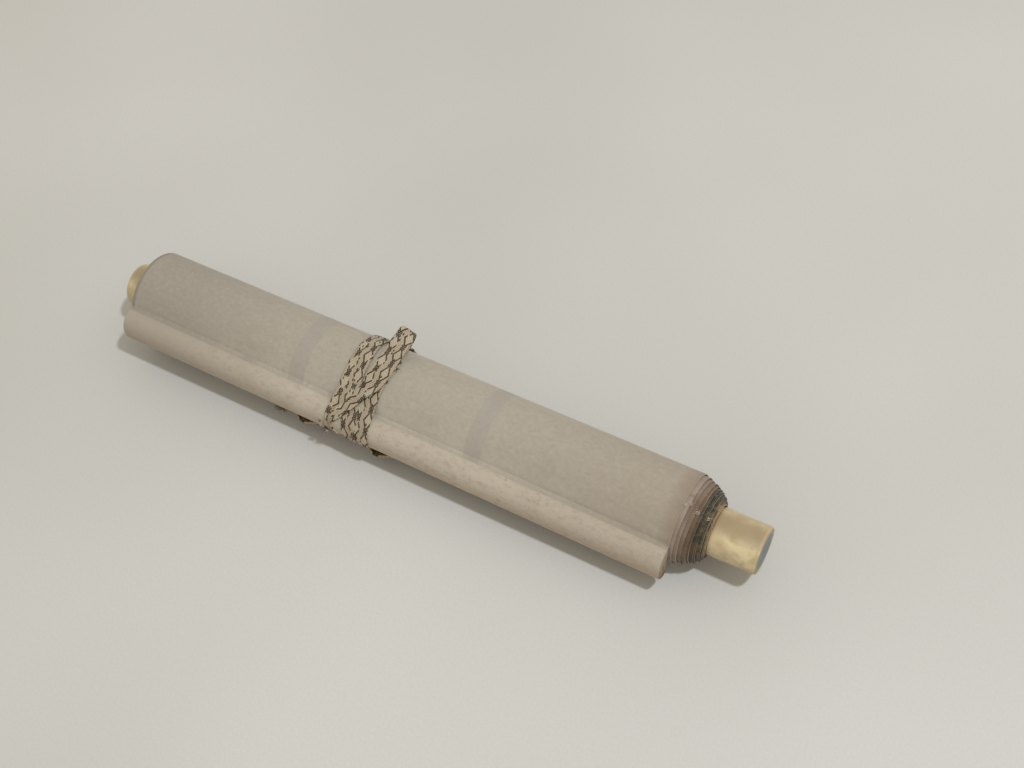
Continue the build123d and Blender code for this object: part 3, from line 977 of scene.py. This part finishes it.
def stave_outline(x, lift, count):
    """Half round outline about the stave, from the valley round the front and up its flat side.
    The paper is slack below the stave."""
    centre = STAVE_RADIUS - STAVE_DEPTH
    corner_up = sqrt((STAVE_RADIUS - STAVE_EDGE) ** 2 - (STAVE_EDGE + centre) ** 2)
    corner_angle = atan2(corner_up, -STAVE_EDGE - centre)
    radius = STAVE_RADIUS + lift
    reach = STAVE_EDGE + lift
    line = []
    for a in np.linspace(radians(78), corner_angle, 3)[:-1]:
        line.append((reach * cos(a) - STAVE_EDGE, corner_up + reach * sin(a)))
    for a in np.linspace(corner_angle, 2 * pi - corner_angle, count):
        line.append((centre + radius * cos(a), radius * sin(a)))
    for a in np.linspace(2 * pi - corner_angle, 2 * pi, 7)[1:]:
        line.append((reach * cos(a) - STAVE_EDGE, reach * sin(a) - corner_up))
    for share in np.linspace(0, 1, 9)[1:]:
        line.append((lift, (2 * share - 1) * corner_up))
    slack = [min(1.0, max(0.0, -up / SLACK_DEPTH)) ** 1.5 for _, up in line]
    return [stave_point(x, *point) + WRAP_SLACK * s for point, s in zip(line, slack)]


def last_rows(x, count_arc=18, count_web=8, count_stave=46):
    """Last arc of the outermost turn, the web to the stave and the wrap about it, as rows of
    (number, y, z). The web leaves the roll later towards the right end."""
    radius = OUTER_RADIUS + SHEET_THICKNESS / 2
    leave = LEAVE_ANGLE + radians(6.5 + 8.8 * (x - MIDDLE_X) / SHEET_WIDTH)
    rows = []
    for step in range(1, count_arc + 1):
        share = step / count_arc
        angle = leave * step / count_arc
        y, z = AXIS_Y - radius * sin(angle), FRONT_CENTRE_Z + radius * cos(angle)
        rows.append((HALF_TURNS + share * (ARC_END - HALF_TURNS), y, z))
    outline = stave_outline(x, WRAP_LIFT, count_stave)
    start, crease, after = np.array(rows[-1][1:]), outline[0], outline[2]
    web = (crease - start) * WEB_SHARE
    for step in range(1, count_web):
        share = step / count_web
        rows.append((ARC_END + (CREASE - ARC_END) * share, *(start + web * share)))
    bend = start + web
    for share in (0.35, 0.7):
        point = (1 - share) ** 2 * bend + 2 * share * (1 - share) * crease + share**2 * after
        rows.append((CREASE + (WRAP_START - CREASE) * share, *point))
    for step, point in enumerate(outline[2:]):
        rows.append((WRAP_START + 0.02 * step, *point))
    return rows


def sheet_rows(profile_left, profile_right):
    """Rows of the sheet between its two edges: turn number, start, span and outward way."""
    turns = np.array([row[0] for row in profile_left])
    left = np.array([row[1:] for row in profile_left])
    right = np.array([row[1:] for row in profile_right])
    edge_x = np.array([seam_x(turn) for turn in turns])
    starts = np.column_stack([edge_x - SHEET_WIDTH, left])
    ends = np.column_stack([edge_x, right])
    way = unit(np.gradient((left + right) / 2, axis=0))
    rises = np.column_stack([np.zeros(len(way)), way[:, 1], -way[:, 0]])
    return turns, starts, ends - starts, rises


def across_shares(edge, inside):
    """Columns across the sheet, close together near its two edges."""
    near = np.array(edge) / SHEET_WIDTH
    middle = np.linspace(near[-1], 1 - near[-1], inside + 2)[1:-1]
    return list(near) + list(middle) + list((1 - near)[::-1])


def rolled_sheet(finish):
    """Whole sheet: hidden turns with few columns, and the outermost turn, web and wrap with many."""
    near = (0.00015, 0.0006, 0.0015, 0.003, 0.006, 0.012)
    hidden = turn_rows(0, 24, 30)
    outer = turn_rows(24, 26, 60)
    left, right = outer + last_rows(LEFT_EDGE_X), outer + last_rows(RIGHT_EDGE_X)
    made = []
    length = 0.0
    for name, rows_left, rows_right, outside, inside, waves in (
        ("sheet_inner", hidden, hidden, across_shares(near, 3), across_shares(near[:3], 6), 0.0),
        ("sheet_outer", left, right, across_shares(near, 96), across_shares(near, 24), WAVE_HEIGHT),
    ):
        turns, starts, spans, rises = sheet_rows(rows_left, rows_right)
        alongs = length + run_along(starts[:, 1:])
        length = alongs[-1]
        depths = np.full(len(turns), SHEET_THICKNESS)
        path = path_object(name + "_path", starts, spans, rises, depths, turns)
        strip = flat_strip(name, alongs, SHEET_WIDTH, outside, inside)
        made.append(lay(strip, path, finish, SHEET_WIDTH, waves=waves))
    return merge("rolled_sheet", made), length


def folded_end(name, x, side, finish):
    """Paper folded shut over one end of the wrapped stave, with pleats that meet near its middle."""
    outline = np.array(stave_outline(x, 0.00055, 44))
    middle = outline.mean(0) + np.array([0.0008, -0.0012])
    rings = [(1.0, 0.0), (0.96, 0.0002), (0.85, 0.00032), (0.65, 0.0004), (0.42, 0.00035), (0.2, 0.0002)]
    size = len(outline)
    verts, folds = [], []
    for scale, depth in rings:
        for k, point in enumerate(outline):
            pleat = 0.5 + 0.5 * sin(k * 0.86 + 4.0 * sin(k * 0.29))
            sink = depth - 0.0005 * pleat * scale * (1 - scale) * 2
            verts.append((x + side * sink, *(middle + (point - middle) * scale)))
            # fold label: a dark brown edge along the lower right, and painted shade where the pleats crease
            seam = 1.0 if size - 22 < k < size - 6 and scale > 0.9 else 0.0
            folds.append(max(seam, max(0.0, pleat - 0.75) * 2.4 * (1 - scale)))
    verts.append((x, *middle))
    folds.append(1.0)
    last = (len(rings) - 1) * size
    faces = ring_faces(len(rings), size)
    faces += [(last + k, last + (k + 1) % size, len(verts) - 1) for k in range(size)]
    if side < 0:
        faces = [face[:1] + face[:0:-1] for face in faces]
    mesh = new_mesh(name, verts, faces=faces)
    keep_label(mesh, "fold", folds)
    mesh.materials.append(finish)
    mesh.shade_smooth()
    return new_object(name, mesh)


# Braided tie


def wound_outline(x, lift):
    """Closed line round the roll and the stave as (angle from the front, y, z), upwards from below."""
    axis = np.array([AXIS_Y, AXIS_Z])
    around = np.linspace(0, 2 * pi, 1441)[:-1]
    ways = np.stack([-np.cos(around), np.sin(around)], 1)
    wrap = np.array(stave_outline(x, WRAP_OUTSIDE, 120))
    reach = ways @ (wrap - axis).T
    held = wrap[reach.argmax(1)] + ways * lift
    free = axis + ways * (ROLL_RADIUS + lift)
    line = np.where((reach.max(1) > ROLL_RADIUS)[:, None], held, free)
    angle = np.degrees(np.arctan2(line[:, 1] - AXIS_Z, -(line[:, 0] - AXIS_Y)))
    order = np.argsort(angle)
    return angle[order], line[order]


def on_wound(angle_deg, x, lift):
    """Place on the wound line at an angle from the front, raised by the lift."""
    angle, line = wound_outline(x, lift)
    turned = (angle_deg + 180) % 360 - 180
    y = np.interp(turned, angle, line[:, 0], period=360)
    z = np.interp(turned, angle, line[:, 1], period=360)
    return x, float(y), max(float(z), LINE_GAP)


def read_places(piece):
    places = np.zeros(len(piece.data.vertices) * 3)
    piece.data.vertices.foreach_get("co", places)
    return places.reshape(-1, 3)


def write_places(piece, places):
    piece.data.vertices.foreach_set("co", places.ravel())
    piece.data.update()


def braid_strip(name, controls, width, finish):
    """Flat braid laid along rows of (x, y, z, width, tilt in degrees, thickness share). What would
    reach into the table is pressed flat upon it."""
    length = run_along(smooth_rows(controls, 200)[:, :3])[-1]
    rows = smooth_rows(controls, int(length / TIE_ROW))
    places = rows[:, :3]
    way = unit(np.gradient(places, axis=0))
    side = unit(np.array([1.0, 0.0, 0.0]) - way * way[:, :1])
    rise = np.cross(way, side)
    tilt = np.radians(rows[:, 4])[:, None]
    side, rise = side * np.cos(tilt) + rise * np.sin(tilt), rise * np.cos(tilt) - side * np.sin(tilt)
    spans = side * rows[:, 3:4]
    run = run_along(places)
    depths = TIE_THICKNESS * rows[:, 5]
    path = path_object(name + "_path", places - spans / 2, spans, rise, depths, run)
    outside = np.linspace(0.025, 0.975, int(width / TIE_COLUMN))
    strip = flat_strip(name, run, rows[:, 3], outside, np.linspace(0.025, 0.975, 12))
    piece = lay(strip, path, finish, width, TIE_RELIEF)
    laid = read_places(piece)
    laid[:, 2] = np.maximum(laid[:, 2], TABLE_GAP)
    write_places(piece, laid)
    return piece


def wound_controls(rows):
    """Control rows from (angle, x, lift and width in mm), and from the tilt and the thickness share
    where they aren't 0 and 1."""
    controls = []
    for angle, x, lift, width, *rest in rows:
        place = on_wound(angle, x / 1000, lift / 1000)
        controls.append((*place, width / 1000, *(rest or (0.0, 1.0))))
    return controls


def left_turn(finish):
    """Left strand: from under the crossing down round the roll, up over the top, to the valley."""
    rows = [
        (56, -32.6, 0.62, 10.4),
        (42, -31.0, 0.62, 10.0),
        (28, -29.5, 0.62, 9.6),
        (14, -28.9, 0.62, 9.4),
        (0, -28.0, 0.62, 9.4),
        (-12, -27.4, 0.62, 9.6),
        (-26, -27.2, 0.62, 10.4, 0, 0.9),
        (-44, -27.6, 0.55, 11, 0, 0.8),
        (-60, -28.2, 0.40, 11, 0, 0.7),
        (-76, -28.8, 0.10, 11, 0, 0.55),
        (-90, -29.5, 0.0, 11, 0, 0.5),
        (-104, -30.2, 0.10, 11, 0, 0.55),
        (-122, -31.2, 0.45, 11, 0, 0.8),
        (-145, -32.8, 0.60, 11),
        (-170, -34.8, 0.62, 11),
        (-195, -36.8, 0.62, 11),
        (-215, -37.5, 0.62, 10.6, 3, 1.0),
        (-235, -37.3, 0.75, 10.2, 2, 1.0),
        (-255, -36.5, 0.75, 10.6),
        (-272, -35.9, 0.70, 11.2),
        (-288, -35.6, 0.70, 11.6),
        (-300, -35.3, 0.95, 11.8),
        (-311, -35.3, 1.40, 11.8),
        (-322, -35.8, 1.65, 11.6),
        (-333, -37.2, 1.60, 11.0, -3, 1.0),
        (-342, -38.9, 1.25, 9.0, -8, 0.95),
        (-349, -40.3, 0.80, 6.4, -14, 0.8),
        (-354, -41.2, 0.30, 3.6, -16, 0.5),
    ]
    return braid_strip("tie_left_turn", wound_controls(rows), 0.0116, finish)


def right_turn(finish):
    """Right strand: once round roll and stave, with its ends lapped behind the top."""
    rows = [
        (150, -28.5, 0.62, 10.8),
        (130, -25.0, 0.62, 11),
        (112, -22.0, 0.62, 11.2),
        (92, -20.2, 0.62, 11.4),
        (75, -20.9, 0.62, 11.2),
        (60, -21.6, 0.62, 10.6),
        (45, -21.6, 0.62, 9.8),
        (32, -21.3, 0.62, 9.2),
        (18, -21.0, 0.62, 8.8),
        (4, -21.0, 0.62, 8.8),
        (-8, -21.5, 0.62, 9.0),
        (-22, -21.2, 0.62, 9.6, 0, 0.9),
        (-40, -19.2, 0.55, 11, 0, 0.8),
        (-58, -17.6, 0.40, 11, 0, 0.7),
        (-76, -16.8, 0.10, 11, 0, 0.55),
        (-90, -16.8, 0.0, 11, 0, 0.5),
        (-104, -17.4, 0.10, 11, 0, 0.55),
        (-122, -18.6, 0.45, 11, 0, 0.8),
        (-145, -20.8, 0.60, 11),
        (-170, -23.4, 0.62, 11),
        (-190, -25.8, 0.80, 11),
        (-205, -27.4, 1.40, 10.8, 0, 0.9),
        (-218, -28.0, 1.45, 10.4, 0, 0.8),
    ]
    return braid_strip("tie_right_turn", wound_controls(rows), 0.0112, finish)


def crossing_loop(finish):
    """Folded end that stands off behind the top, crosses the two turns down to the strip and ends
    as a thin cord tucked under the strip's lower edge."""
    top = AXIS_Z + ROLL_RADIUS
    under = [
        (-0.0215, AXIS_Y - 0.006, top + 0.00085, 0.0105, 0, 1.0),
        (-0.0212, AXIS_Y + 0.001, top + 0.00145, 0.0110, 0, 1.0),
        (-0.0209, AXIS_Y + 0.008, top + 0.00150, 0.0110, 0, 1.0),
        (-0.0207, AXIS_Y + 0.0160, top + 0.00190, 0.0100, 0, 1.0),
        (-0.0206, AXIS_Y + 0.0215, top + 0.00225, 0.0084, 0, 1.0),
        (-0.0206, AXIS_Y + 0.0236, top + 0.00275, 0.0076, 0, 1.0),
        (-0.0206, AXIS_Y + 0.0236, top + 0.00355, 0.0076, 0, 1.0),
        (-0.0206, AXIS_Y + 0.0215, top + 0.00400, 0.0086, 0, 1.0),
        (-0.0206, AXIS_Y + 0.0160, top + 0.00380, 0.0102, 0, 1.0),
        (-0.0208, AXIS_Y + 0.0080, top + 0.00310, 0.0114, 0, 1.0),
        (-0.0209, AXIS_Y + 0.0020, top + 0.00270, 0.0116, 0, 1.0),
    ]
    over = [
        (80, -21.3, 2.25, 12.2),
        (70, -22.2, 1.95, 12.4, 3, 1.0),
        (61, -23.2, 1.85, 11.0, 5, 1.0),
        (53, -24.8, 2.10, 8.2, 8, 1.0),
        (45, -27.0, 2.55, 6.8, 10, 1.0),
        (37, -29.6, 2.75, 6.2, 10, 1.0),
        (29, -32.6, 2.75, 6.2, 8, 1.0),
        (21, -35.8, 2.45, 5.8, 6, 1.0),
        (14, -39.0, 1.80, 4.6, 2, 0.9),
        (9, -41.0, 1.0, 2.6, 0, 0.9),
        (4, -40.8, 0.60, 1.6),
        (-1, -39.6, 0.45, 1.4),
        (-6, -37.4, 0.45, 1.4),
        (-11, -35.0, 0.45, 1.4),
    ]
    loop = braid_strip("tie_crossing_loop", under + wound_controls(over), 0.0114, finish)
    # the folded end leans down to the right
    places = read_places(loop)
    share = np.clip((places[:, 1] - AXIS_Y - 0.010) / 0.012, 0.0, 1.0)
    places[:, 2] -= (places[:, 0] - LOOP_X) * 0.5 * share * (places[:, 2] > AXIS_Z)
    write_places(loop, places)
    return loop


def loose_threads(name, spots, seed, inputs):
    """Tufts of thread: each spot is a place, a way, a count and the reach that they scatter over."""
    chance = np.random.default_rng(seed)
    places, ways = [], []
    for place, way, count, reach in spots:
        for _ in range(count):
            places.append(np.array(place) + chance.uniform(-1, 1, 3) * np.array(reach))
            ways.append(way)
    mesh = new_mesh(name, places)
    keep_label(mesh, "rise", ways)
    return apply_tree(new_object(name, mesh), SCATTER_THREADS, {"Seed": seed, **inputs})


# Hanging cord under the stave


def staple_foot(x):
    """Lower end of the staple at x, where the strap is knotted."""
    top = stave_point(x, -STAPLE_INSET, STAPLE_INSET - STAVE_WIDTH / 2)
    return top + STAPLE_DOWN * STAPLE_REACH


def strap_frame():
    """Way across the strap and way inwards, as (y, z): it lies along the tangent of roll and strip."""
    stave = stave_point(MIDDLE_X, STAVE_RADIUS - STAVE_DEPTH, 0.0)
    axis = np.array([AXIS_Y, AXIS_Z])
    stave_reach = STAVE_RADIUS + WRAP_OUTSIDE
    between = stave - axis
    swing = acos((ROLL_RADIUS - stave_reach) / np.linalg.norm(between))
    angle = atan2(between[1], between[0]) % (2 * pi) + swing
    way = np.array([cos(angle), sin(angle)])
    down = (axis + way * ROLL_RADIUS) - (stave + way * stave_reach)
    down /= np.linalg.norm(down)
    return down, np.array([-down[1], down[0]])


def bulge(x, middle, width):
    """Soft bulge that is 1 at its middle."""
    return exp(-(((x - middle) / width) ** 2))


def hanging_strap(finish):
    """Strap between the two staples, slightly slack, with its plait."""
    down, inwards = strap_frame()
    first, last = staple_foot(STAPLE_LEFT_X), staple_foot(STAPLE_RIGHT_X)
    left_x, right_x = STAPLE_LEFT_X + STRAP_END_GAP, STAPLE_RIGHT_X - STRAP_END_GAP
    controls = []
    for step, x in enumerate(np.linspace(left_x, right_x, 29)):
        share = (x - STAPLE_LEFT_X) / (STAPLE_RIGHT_X - STAPLE_LEFT_X)
        y, z = first + (last - first) * share - inwards * 0.0005
        slack = min(1.0, (x - left_x + 0.002) / 0.012, (right_x + 0.002 - x) / 0.012)
        beside_tie, at_left = bulge(x, -0.0140, 0.0068), bulge(x, -0.0615, 0.0062)
        y -= 0.0010 * slack + 0.0034 * beside_tie + 0.0040 * at_left
        z -= 0.0002 * slack + 0.0014 * beside_tie + 0.0003 * sin(step * 1.7)
        controls.append((x, y, z))
    places = smooth_rows(controls, 340)
    count = len(places)
    spans = np.tile(np.array([0.0, *down]) * STRAP_WIDTH, (count, 1))
    rises = np.tile(-np.array([0.0, *inwards]), (count, 1))
    run = places[:, 0] - places[0, 0]
    depths = np.full(count, STRAP_THICKNESS)
    path = path_object("strap_path", places - spans / 2, spans, rises, depths, run)
    outside, inside = np.linspace(0.03, 0.97, 18), [0.03, 0.35, 0.65, 0.97]
    strip = flat_strip("hanging_strap", run, STRAP_WIDTH, outside, inside)
    return lay(strip, path, finish, STRAP_WIDTH, STRAP_RELIEF)


def strap_knot(name, x, finish):
    """Strap end tied to a staple: an overhand knot, drawn flat."""
    along = np.array([1.0, 0.0, 0.0])
    down = np.array([0.0, *STAPLE_DOWN])
    out = np.array([0.0, STAPLE_DOWN[1], -STAPLE_DOWN[0]])
    centre = np.array([x, *staple_foot(x)])
    curve = bpy.data.curves.new(name, "CURVE")
    curve.dimensions = "3D"
    spline = curve.splines.new("NURBS")
    count = 24
    spline.points.add(count - 1)
    for point, t in zip(spline.points, np.linspace(0, 2 * pi, count + 1)):
        u = (sin(t) + 2 * sin(2 * t)) * 0.00168
        v = (cos(t) - 2 * cos(2 * t)) * 0.00078
        w = -sin(3 * t) * 0.0010
        point.co = (*(centre + along * u + down * v + out * w), 1.0)
    spline.use_cyclic_u = True
    spline.order_u = 4
    spline.resolution_u = 6
    curve.bevel_depth = 0.00105
    curve.bevel_resolution = 3
    curve.use_fill_caps = True
    line = new_object(name + "_line", curve)
    mesh = mesh_of(line)
    drop(line)
    mesh.name = name
    places = np.array([v.co for v in mesh.vertices])
    across = (places[:, 1] - centre[1]) + (places[:, 2] - centre[2])
    keep_flat(mesh, across, places[:, 0] - x)
    mesh.materials.clear()
    mesh.materials.append(finish)
    mesh.shade_smooth()
    return new_object(name, mesh)


# Stage


def table_top(finish):
    """Large pale table that the scroll lies on."""
    size = 2.4
    corners = [(-size, -size, 0.0), (size, -size, 0.0), (size, size, 0.0), (-size, size, 0.0)]
    mesh = new_mesh("table_top", corners, faces=[(0, 1, 2, 3)])
    mesh.materials.append(finish)
    new_object("table_top", mesh)


def camera():
    """Camera at the photograph's place and angle, from a fit of the roll's outlines."""
    lens = bpy.data.cameras.new("camera")
    lens.lens = 49.22
    lens.sensor_width = 36.0
    lens.clip_start = 0.01
    right = Vector((0.8724, 0.4831, -0.0749)).normalized()
    forward = Vector((-0.3305, 0.4698, -0.8185)).normalized()
    up = right.cross(forward).normalized()
    turn = Matrix((right, up, -forward)).transposed().to_4x4()
    seat = new_object("camera", lens)
    seat.matrix_world = Matrix.Translation((0.28805, AXIS_Y - 0.3263, AXIS_Z + 0.6268)) @ turn
    bpy.context.scene.camera = seat


def studio_light():
    """One soft lamp over the right end, and an even warm surround that fills the shade."""
    lamp = bpy.data.lights.new("window_lamp", "AREA")
    lamp.shape = "DISK"
    lamp.size = 0.13
    lamp.energy = 19.6
    lamp.color = (0.94, 1.0, 1.1)
    seat = new_object("window_lamp", lamp)
    place = Vector((0.825, -0.04, 1.87))
    seat.location = place
    seat.rotation_euler = (place - Vector((0.0, 0.0, 0.02))).to_track_quat("Z", "Y").to_euler()
    world = bpy.data.worlds.new("surround")
    world.use_nodes = True
    surround = world.node_tree.nodes["Background"]
    surround.inputs[0].default_value = (1.0, 0.95, 0.86, 1.0)
    surround.inputs[1].default_value = 0.7
    bpy.context.scene.world = world


def dress(finish, *nodes):
    """Gives CAD nodes their finish, in their own material slots."""
    for node in nodes:
        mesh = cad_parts[node].data
        if not mesh.materials:
            mesh.materials.append(finish)
        for index in range(len(mesh.materials)):
            mesh.materials[index] = finish


camera()
studio_light()
table_top(table_finish())

paper = backing_paper_finish()
folded = folded_end_finish()
tie_silk = braid_finish("tie_braid", (184, 171, 147), (44, 31, 19), 0.16)
strap_silk = braid_finish("cord_braid", (166, 142, 104), (60, 44, 26), 0.2)

sheet, sheet_length = rolled_sheet(paper)
left_fold = folded_end("folded_end_left", LEFT_EDGE_X - 0.00005, -1, folded)
right_fold = folded_end("folded_end_right", RIGHT_EDGE_X + 0.00005, 1, folded)

tie_left = left_turn(tie_silk)
tie_right = right_turn(tie_silk)
tie_cross = crossing_loop(tie_silk)

tie_threads = loose_threads(
    "tie_loose_threads",
    [
        (on_wound(1, -0.0462, 0.0007), (-0.5, -0.3, -0.7), 34, (0.0010, 0.0003, 0.0012)),
        (on_wound(-5, -0.0438, 0.0008), (0.2, -0.3, -0.8), 34, (0.0016, 0.0003, 0.0008)),
        ((-0.0806, -0.0238, 0.0086), (-0.2, -0.7, -0.6), 44, (0.0030, 0.0006, 0.0009)),
        (on_wound(88, -0.0157, 0.0008), (0.8, 0.1, 0.4), 8, (0.0003, 0.002, 0.0005)),
    ],
    7,
    {"Length": 0.0024, "Radius": 0.00013, "Bend": 0.0009, "Spread": 0.8, "Finish": thread_finish()},
)

silk_threads = loose_threads(
    "turn_loose_threads",
    [
        ((0.1557, -0.001, 0.0482), (0.3, -0.2, 0.9), 7, (0.001, 0.0012, 0.0004)),
        ((0.1582, 0.0006, 0.0477), (0.4, -0.2, 0.8), 6, (0.001, 0.001, 0.0004)),
        ((0.1627, -0.0008, 0.0456), (0.5, -0.3, 0.7), 7, (0.0008, 0.0012, 0.0004)),
        ((0.1684, 0.0, 0.042), (0.6, -0.3, 0.6), 5, (0.0006, 0.001, 0.0004)),
    ],
    11,
    {"Length": 0.0017, "Radius": 0.00011, "Bend": 0.0006, "Spread": 0.6, "Finish": frayed_silk_finish()},
)

strap = hanging_strap(strap_silk)
knot_left = strap_knot("strap_knot_left", STAPLE_LEFT_X, strap_silk)
knot_right = strap_knot("strap_knot_right", STAPLE_RIGHT_X, strap_silk)

dress(wood_finish("rod_wood", (190, 158, 112), (146, 112, 72)), "roller_rod")
dress(wood_finish("stave_wood", (196, 166, 120), (152, 120, 80)), "top_stave")
dress(knob_finish(), "left_roller_knob", "right_roller_knob")
dress(staple_finish(), "left_eyelet", "right_eyelet")
dress(ribbon_silk_finish(), "left_hanging_ribbon", "right_hanging_ribbon")

for piece, slot_name, nodes in (
    (sheet, "backing_paper", ["scroll_sheet"]),
    (left_fold, "backing_paper", []),
    (right_fold, "backing_paper", []),
    (tie_left, "tie_braid", ["tie_ribbon"]),
    (tie_right, "tie_braid", ["tie_ribbon"]),
    (tie_cross, "tie_braid", ["tie_ribbon"]),
    (tie_threads, "tie_braid", []),
    (silk_threads, "backing_paper", []),
    (strap, "cord_braid", ["hanging_cord"]),
    (knot_left, "cord_braid", ["hanging_cord"]),
    (knot_right, "cord_braid", ["hanging_cord"]),
):
    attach(piece, "root")
    if nodes:
        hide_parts(*nodes)

view = bpy.context.scene.view_settings
view.view_transform = "Standard"
